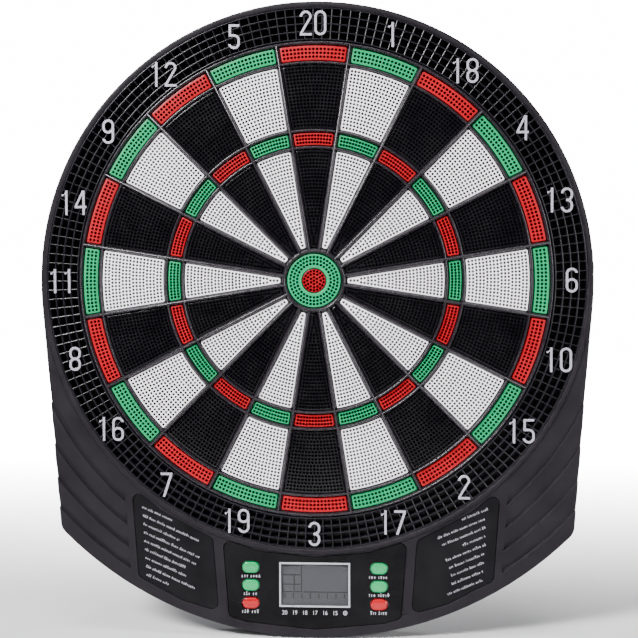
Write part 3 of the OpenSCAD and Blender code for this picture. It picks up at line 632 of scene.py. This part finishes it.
# %% [markdown]
# ## The web
# The web, or spider, is one moulding: five rings and twenty radial ribs with sloping crests that
# turn a dart into a segment. The rings are turned on a lathe function. The rib is drawn once and
# the circle tree repeats it. The ribs stand a little higher than the rings and run over them. Below
# them, out of sight, are the web's flange and its ten screw posts.

# %% Web
web_top = front_of("spider")
WEB_FOOT, CREST, FLAT, RING_DROP = 16.7, 1.8, 0.9, 0.35
RIB_W = GAP - 0.9


def rib_outline(width, height):
    points = [(-width / 2, WEB_FOOT), (width / 2, WEB_FOOT), (width / 2, height - CREST),
              (FLAT / 2, height), (-FLAT / 2, height), (-width / 2, height - CREST)]
    return soften(points, 0.3)


WEB_RINGS = ((20.35, 23.95), (96.85, 99.45), (109.35, 111.95), (158.85, 161.35), (173.25, 176.3))
web = bmesh.new()
for r0, r1 in WEB_RINGS:
    lathe(web, [((r0 + r1) / 2 + x, h) for x, h in rib_outline(r1 - r0, web_top - RING_DROP)], 240)
lathe(web, box_section(174.6, 184.0, 14.5, 16.5), 120)
lathe(web, box_section(174.6, 176.1, 14.6, 18.6), 120)
rib = bmesh.new()
RIB_FROM, RIB_TO, MIDWAY = 22.2, 175.0, 100.0
stations = [(RIB_FROM, 0.0), (RIB_TO - 1.0, 0.0), (RIB_TO - 0.3, 0.35), (RIB_TO, 1.0)]
ends = shell(rib, [[(x - MIDWAY, y * (1 - 0.15 * drop), h - drop if h > WEB_FOOT + 1 else h)
                    for y, h in rib_outline(RIB_W, web_top)] for x, drop in stations])
rib.faces.new(ends[0])
rib.faces.new(ends[-1])
copies_round(web, rib, 20, MIDWAY, 9.0, "web_grey")
post = bmesh.new()
lathe(post, box_section(1.65, 3.45, 9.9, 14.8), 24)
copies_round(web, post, 10, 180.0, 18.0, "web_grey")
make_piece(web, "web", "web_grey", "board", ["spider"], sharp=50)

# %% [markdown]
# ## The catch ring
# Darts that miss the target stick in this ring of small open cells. Its round walls are lathed
# with soft tops and the straight walls come from the circle tree. They pass through each other,
# as the walls of the real moulding do, and no boolean is needed for cells this small.

# %% Catch ring
catch_top = front_of("catch_ring")
catch_back = 16.5
CATCH_R, CATCH_W, WALL, ROWS, CELLS, FLOOR_H = 176.5, 23.5, 1.0, 4, 180, 19.0
catch = bmesh.new()
for k in range(ROWS + 1):
    r = CATCH_R + 0.1 + k * (CATCH_W - WALL) / ROWS
    lathe(catch, soften(box_section(r, r + WALL - 0.2, FLOOR_H - 1.2, catch_top), 0.3), 240)
lathe(catch, box_section(CATCH_R + 0.5, CATCH_R + CATCH_W - 0.5, catch_back, FLOOR_H), 180)
lathe(catch, box_section(CATCH_R + CATCH_W - 0.5, 201.8, 19.6, 22.0), 180)
fin = bmesh.new()
FIN_REACH = 11.2
half = 0.45
fin_top = catch_top - 0.3
fin_outline = [(-half, FLOOR_H - 1), (half, FLOOR_H - 1), (half, fin_top - 0.45),
               (half * 0.6, fin_top - 0.1), (0, fin_top), (-half * 0.6, fin_top - 0.1),
               (-half, fin_top - 0.45)]
ends = shell(fin, [[(x, y, h) for y, h in fin_outline] for x in (-FIN_REACH, FIN_REACH)])
fin.faces.new(ends[0])
fin.faces.new(ends[1])
copies_round(catch, fin, CELLS, CATCH_R + CATCH_W / 2, 0.0, "catch_black")
post = bmesh.new()
lathe(post, box_section(1.5, 3.45, 4.6, catch_back + 1), 24)
copies_round(catch, post, 8, 192.0, 22.5, "catch_black")
make_piece(catch, "catch_cells", "catch_black", "board", ["catch_ring"], sharp=40)

# %% [markdown]
# ## Rounded copies
# The housing, the panels and the numerals already have the right shape, but their edges are
# knife sharp and catch no light. A copy of each is merged into a closed mesh, and a Bevel modifier
# rolls every hard edge over. Where edges crowd together a bevel can throw a point outwards, so
# every point is held inside the part's own box afterwards.

# %% Keep flat faces flat
def flatter(piece):
    """Let the large faces decide the shading, so that a rounded edge doesn't bend the flat ones."""
    weigh = piece.modifiers.new("weigh", "WEIGHTED_NORMAL")
    weigh.mode = "FACE_AREA"
    weigh.weight = 100
    weigh.keep_sharp = True
    graph = bpy.context.evaluated_depsgraph_get()
    made = bpy.data.meshes.new_from_object(piece.evaluated_get(graph))
    piece.modifiers.remove(weigh)
    piece.data = made


# %% Round the edges of a part
MERGE = 0.00002  # metres
slots = {part["node"]: part["material_slot"] for part in frame["record"]["subparts"]}


def rounded_copy(node, radius, body="board"):
    bm = bmesh.new()
    bm.from_mesh(frame["nodes"][node].data)
    bmesh.ops.remove_doubles(bm, verts=bm.verts, dist=MERGE)
    bmesh.ops.dissolve_degenerate(bm, edges=bm.edges, dist=MERGE)
    mesh = bpy.data.meshes.new(node + "_soft")
    bm.to_mesh(mesh)
    bm.free()
    holder = bpy.data.objects.new("holder", mesh)
    bpy.context.scene.collection.objects.link(holder)
    bevel = holder.modifiers.new("bevel", "BEVEL")
    bevel.width = radius * MM
    bevel.segments = 2
    bevel.limit_method = "ANGLE"
    bevel.angle_limit = math.radians(30)
    bevel.use_clamp_overlap = False
    graph = bpy.context.evaluated_depsgraph_get()
    made = bpy.data.meshes.new_from_object(holder.evaluated_get(graph))
    holder.modifiers.remove(bevel)
    bpy.data.objects.remove(holder)
    bm = bmesh.new()
    bm.from_mesh(made)
    low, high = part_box(node)
    for v in bm.verts:
        v.co = Vector(max(a, min(b, c)) for a, b, c in zip(low, high, v.co))
    bm.transform(STAND.inverted())
    flatter(make_piece(bm, node + "_soft", slots[node], body, [node], sharp=60))


EDGE_RADII = {"front_housing": 0.35, "console_fascia": 0.25, "lcd_bezel": 0.15,
              "rules_plate_left": 0.2, "rules_plate_right": 0.2, "number_ring": 0.12,
              "rear_cover": 0.3}
for node, radius in EDGE_RADII.items():
    rounded_copy(node, radius)
rounded_copy("battery_door", 0.25, body="door")

# %% [markdown]
# ## Keys
# The six keys are glossy ovals with a low dome. A dome is a stack of the same oval, each a bit
# smaller and higher than the last, following a quarter of an ellipse.

# %% Oval keys
def oval(width, height, inset, steps=16):
    r = height / 2 - inset
    shift = width / 2 - height / 2
    right_end = [(shift + r * math.cos(t), r * math.sin(t))
                 for t in (math.pi * (k / steps - 0.5) for k in range(steps + 1))]
    return right_end + [(-x, -y) for x, y in right_end]


KEYS = {"option": "green", "game": "green", "power": "red",
        "double": "green", "player": "green", "start": "red"}
KEY_W, KEY_H = 12.2, 8.0
DOME, DOME_INSET, DOME_STEPS = 0.9, 3.2, 6
for key, tint in KEYS.items():
    node = key + "_button"
    low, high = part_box(node)
    x, y = (low.x + high.x) / 2 / MM, (low.z + high.z) / 2 / MM
    head, foot = front_of(node), back_of(node)
    flange = ((high.x - low.x) / MM - KEY_W) / 2
    levels = [(-flange, foot), (-flange, foot + 1.0), (0, foot + 1.0), (0, head - DOME)]
    for k in range(1, DOME_STEPS + 1):
        t = k / DOME_STEPS * math.pi / 2
        levels.append((DOME_INSET * (1 - math.cos(t)), head - DOME + DOME * math.sin(t)))
    bm = bmesh.new()
    rings = shell(bm, [[(x + u, y + v, h) for u, v in oval(KEY_W, KEY_H, inset)]
                       for inset, h in levels])
    bm.faces.new(rings[0])
    bm.faces.new(rings[-1])
    make_piece(bm, key + "_cap", "button_" + tint, key + "_key", [node], sharp=60)

# %% [markdown]
# ## Printing
# The real board has lists of games and labels in small type. They are stood in for by rows of
# small blocks that read as lines of print from a distance and say nothing. Each is a thin raised
# shape, so it stays crisp in any view. A fixed seed keeps the rows the same on every run.

# %% Blocks of print
PRINT_T, SUNK = 0.06, 0.02  # height above the surface, and how far a block reaches into it
dice = random.Random(7)


def add_block(bm, centre, along, width, height, base):
    """A thin raised block; along is a unit vector in its reading direction."""
    up = Vector((-along.y, along.x))
    corners = [centre + along * sx * width / 2 + up * sy * height / 2
               for sx, sy in ((-1, -1), (1, -1), (1, 1), (-1, 1))]
    rings = shell(bm, [[(c.x, c.y, h) for c in corners] for h in (base - SUNK, base + PRINT_T)])
    bm.faces.new(rings[0])
    bm.faces.new(rings[1])


def add_print_line(bm, start, degrees, length, base, size=2.1):
    along = Vector((math.cos(math.radians(degrees)), math.sin(math.radians(degrees))))
    up = Vector((-along.y, along.x))
    at = 0.0
    left_in_word = 3
    while at < length:
        width = size * dice.choice((0.3, 0.42, 0.5, 0.55))
        height = size * dice.choice((0.62, 0.62, 0.7, 0.95))
        centre = Vector(start) + along * (at + width / 2) + up * height / 2
        if dice.random() < 0.7:
            add_block(bm, centre, along, width * 0.42, height, base)
            add_block(bm, centre + up * height * dice.choice((-0.36, 0.0, 0.36)), along, width,
                      height * 0.24, base)
        else:
            add_block(bm, centre, along, width * 0.36, height, base)
        left_in_word -= 1
        at += width + size * 0.2
        if left_in_word == 0:
            left_in_word = dice.choice((4, 5, 6, 8))
            at += size * 0.45


plate_front = front_of("rules_plate_left")
left_print, right_print = bmesh.new(), bmesh.new()
for k, length in enumerate((25, 48, 31, 48, 44, 36, 35, 42, 18)):
    add_print_line(left_print, (-130 + 0.35 * k, -170.4 - 6.4 * k), -24, length * 0.96, plate_front)
for k, length in enumerate((20, 39, 35, 18, 31, 28, 26, 25, 28)):
    tilt = math.radians(23)
    end = Vector((128 - 0.4 * k, -170 - 6.6 * k))
    begin = end - Vector((math.cos(tilt), math.sin(tilt))) * length
    add_print_line(right_print, begin, 23, length, plate_front)
make_piece(left_print, "left_list", "bezel_silver", "board", sharp=30, finish="print_white")
make_piece(right_print, "right_list", "bezel_silver", "board", sharp=30, finish="print_white")

# %% Labels under the keys
fascia_front = front_of("console_fascia")
labels = bmesh.new()
for key, width in (("option", 14), ("game", 11), ("power", 14), ("double", 15), ("player", 15),
                   ("start", 13)):
    low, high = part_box(key + "_button")
    x, y = (low.x + high.x) / 2 / MM, (low.z + high.z) / 2 / MM
    add_print_line(labels, (x - width / 2, y - 7.6), 0, width - 1, fascia_front, size=2.9)
make_piece(labels, "key_labels", "bezel_silver", "board", sharp=30, finish="print_white")

# %% [markdown]
# The row of numbers under the display is a scale, like the numbers on a dial, so it is real
# text. Blender's own font is turned into a mesh first, and only then moved into place.

# %% Numbers under the display
scale_row = bmesh.new()


def add_text(bm, body, x, y, size, base):
    curve = bpy.data.curves.new("digits", "FONT")
    curve.body = body
    curve.size = size
    curve.align_x = "CENTER"
    curve.extrude = PRINT_T / 2
    holder = bpy.data.objects.new("digits", curve)
    bpy.context.scene.collection.objects.link(holder)
    graph = bpy.context.evaluated_depsgraph_get()
    mesh = bpy.data.meshes.new_from_object(holder.evaluated_get(graph))
    bpy.data.objects.remove(holder)
    mesh.transform(Matrix.Translation((x, y, base + PRINT_T / 2)) @ Matrix.Diagonal((0.9, 1, 1, 1)))
    bm.from_mesh(mesh)


for k, value in enumerate((20, 19, 18, 17, 16, 15)):
    add_text(scale_row, str(value), -22.5 + 7.55 * k, -249.8, 4.5, fascia_front)
lathe(scale_row, box_section(1.15, 1.6, fascia_front - SUNK, fascia_front + PRINT_T), 32,
      (22.8, -248.2))
lathe(scale_row, box_section(0.01, 0.5, fascia_front - SUNK, fascia_front + PRINT_T), 24,
      (22.8, -248.2))
bmesh.ops.remove_doubles(scale_row, verts=scale_row.verts, dist=0.001)
make_piece(scale_row, "display_scale", "bezel_silver", "board", sharp=30, finish="print_white")

# %% [markdown]
# ## Display
# With the power off, a liquid-crystal display still shows the outlines of its cells, a shade
# darker than the grey behind them. They are thin lines laid on the glass, behind the window.

# %% Cells of the display
cells = bmesh.new()
glass_front = front_of("lcd_glass")
LINE = 0.8
cell_lines = [(-10, -222, LINE, 22), (8.5, -233, 35, LINE), (-17.5, -233, 13, LINE),
              (-15.5, -226.5, LINE, 12)]
cell_lines += [(-17.5, y, 13, LINE) for y in (-213.4, -220.2, -227.3)]
cell_lines += [(-22.5 + 6.4 * k, -236, LINE, 4) for k in range(8)]
for x, y, width, height in cell_lines:
    add_block(cells, Vector((x, y)), Vector((1, 0)), width, height, glass_front)
make_piece(cells, "display_cells", "display_grey", "board", sharp=30, finish="print_grey")

# %% [markdown]
# ## Studio
# A plain pale floor and four soft area lights: a key from the upper left, a weaker fill from the
# right, a strip overhead that draws bright lines along the ribs and the rim, and one behind the
# board that lights only the floor there. The camera sees the world as white, but it lights the
# board only faintly, so that the dark plastics stay dark.

# %% Floor, world and lights
board_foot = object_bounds()[0].z
slab = bmesh.new()
FLOOR_X, FLOOR_FRONT, FLOOR_BACK = 3.5, -1.4, 2.8
for x, y in ((-FLOOR_X, FLOOR_FRONT), (FLOOR_X, FLOOR_FRONT), (FLOOR_X, FLOOR_BACK),
             (-FLOOR_X, FLOOR_BACK)):
    slab.verts.new((x, y, board_foot - 0.0005))
slab.faces.new(slab.verts)
floor_mesh = bpy.data.meshes.new("studio_floor")
slab.to_mesh(floor_mesh)
slab.free()
studio_floor = bpy.data.objects.new("studio_floor", floor_mesh)
bpy.context.scene.collection.objects.link(studio_floor)
moulded("pale_floor", (0.86, 0.86, 0.87), rough=0.7, vary=0.01, lift=0.0)
floor_mesh.materials.append(finishes["pale_floor"])

world = bpy.data.worlds.new("pale_room")
world.use_nodes = True
room = world.node_tree
seen = room.nodes["Background"]
seen.inputs["Color"].default_value = (0.98, 0.98, 1, 1)
seen.inputs["Strength"].default_value = 16.0
lit = add_node(room, "ShaderNodeBackground", Color=(0.9, 0.93, 1, 1), Strength=0.1)
eye_ray = room.nodes.new("ShaderNodeLightPath").outputs["Is Camera Ray"]
blend = room.nodes.new("ShaderNodeMixShader")
for socket, source in zip(blend.inputs, (eye_ray, lit.outputs[0], seen.outputs[0])):
    room.links.new(source, socket)
room.links.new(blend.outputs[0], room.nodes["World Output"].inputs["Surface"])
bpy.context.scene.world = world


def soft_light(name, place, aim, width, height, watts, spread):
    data = bpy.data.lights.new(name, "AREA")
    data.shape = "RECTANGLE"
    data.size, data.size_y, data.energy = width, height, watts
    data.spread = math.radians(spread)
    light = bpy.data.objects.new(name, data)
    light.location = place
    light.rotation_euler = (Vector(aim) - Vector(place)).to_track_quat("-Z", "Y").to_euler()
    bpy.context.scene.collection.objects.link(light)


soft_light("key", (-0.9, -1.3, 1.0), (0, 0, 0), 0.5, 0.45, 13, spread=70)
soft_light("fill", (1.3, -1.2, 0.2), (0, 0, 0), 0.5, 0.7, 4.5, spread=70)
soft_light("overhead", (0.1, -0.5, 1.3), (0, 0, 0), 1.2, 0.2, 1.9, spread=60)
soft_light("behind", (0.0, 1.9, 1.2), (0, 1.9, -0.27), 3.0, 2.0, 900, spread=70)
print("studio ready")
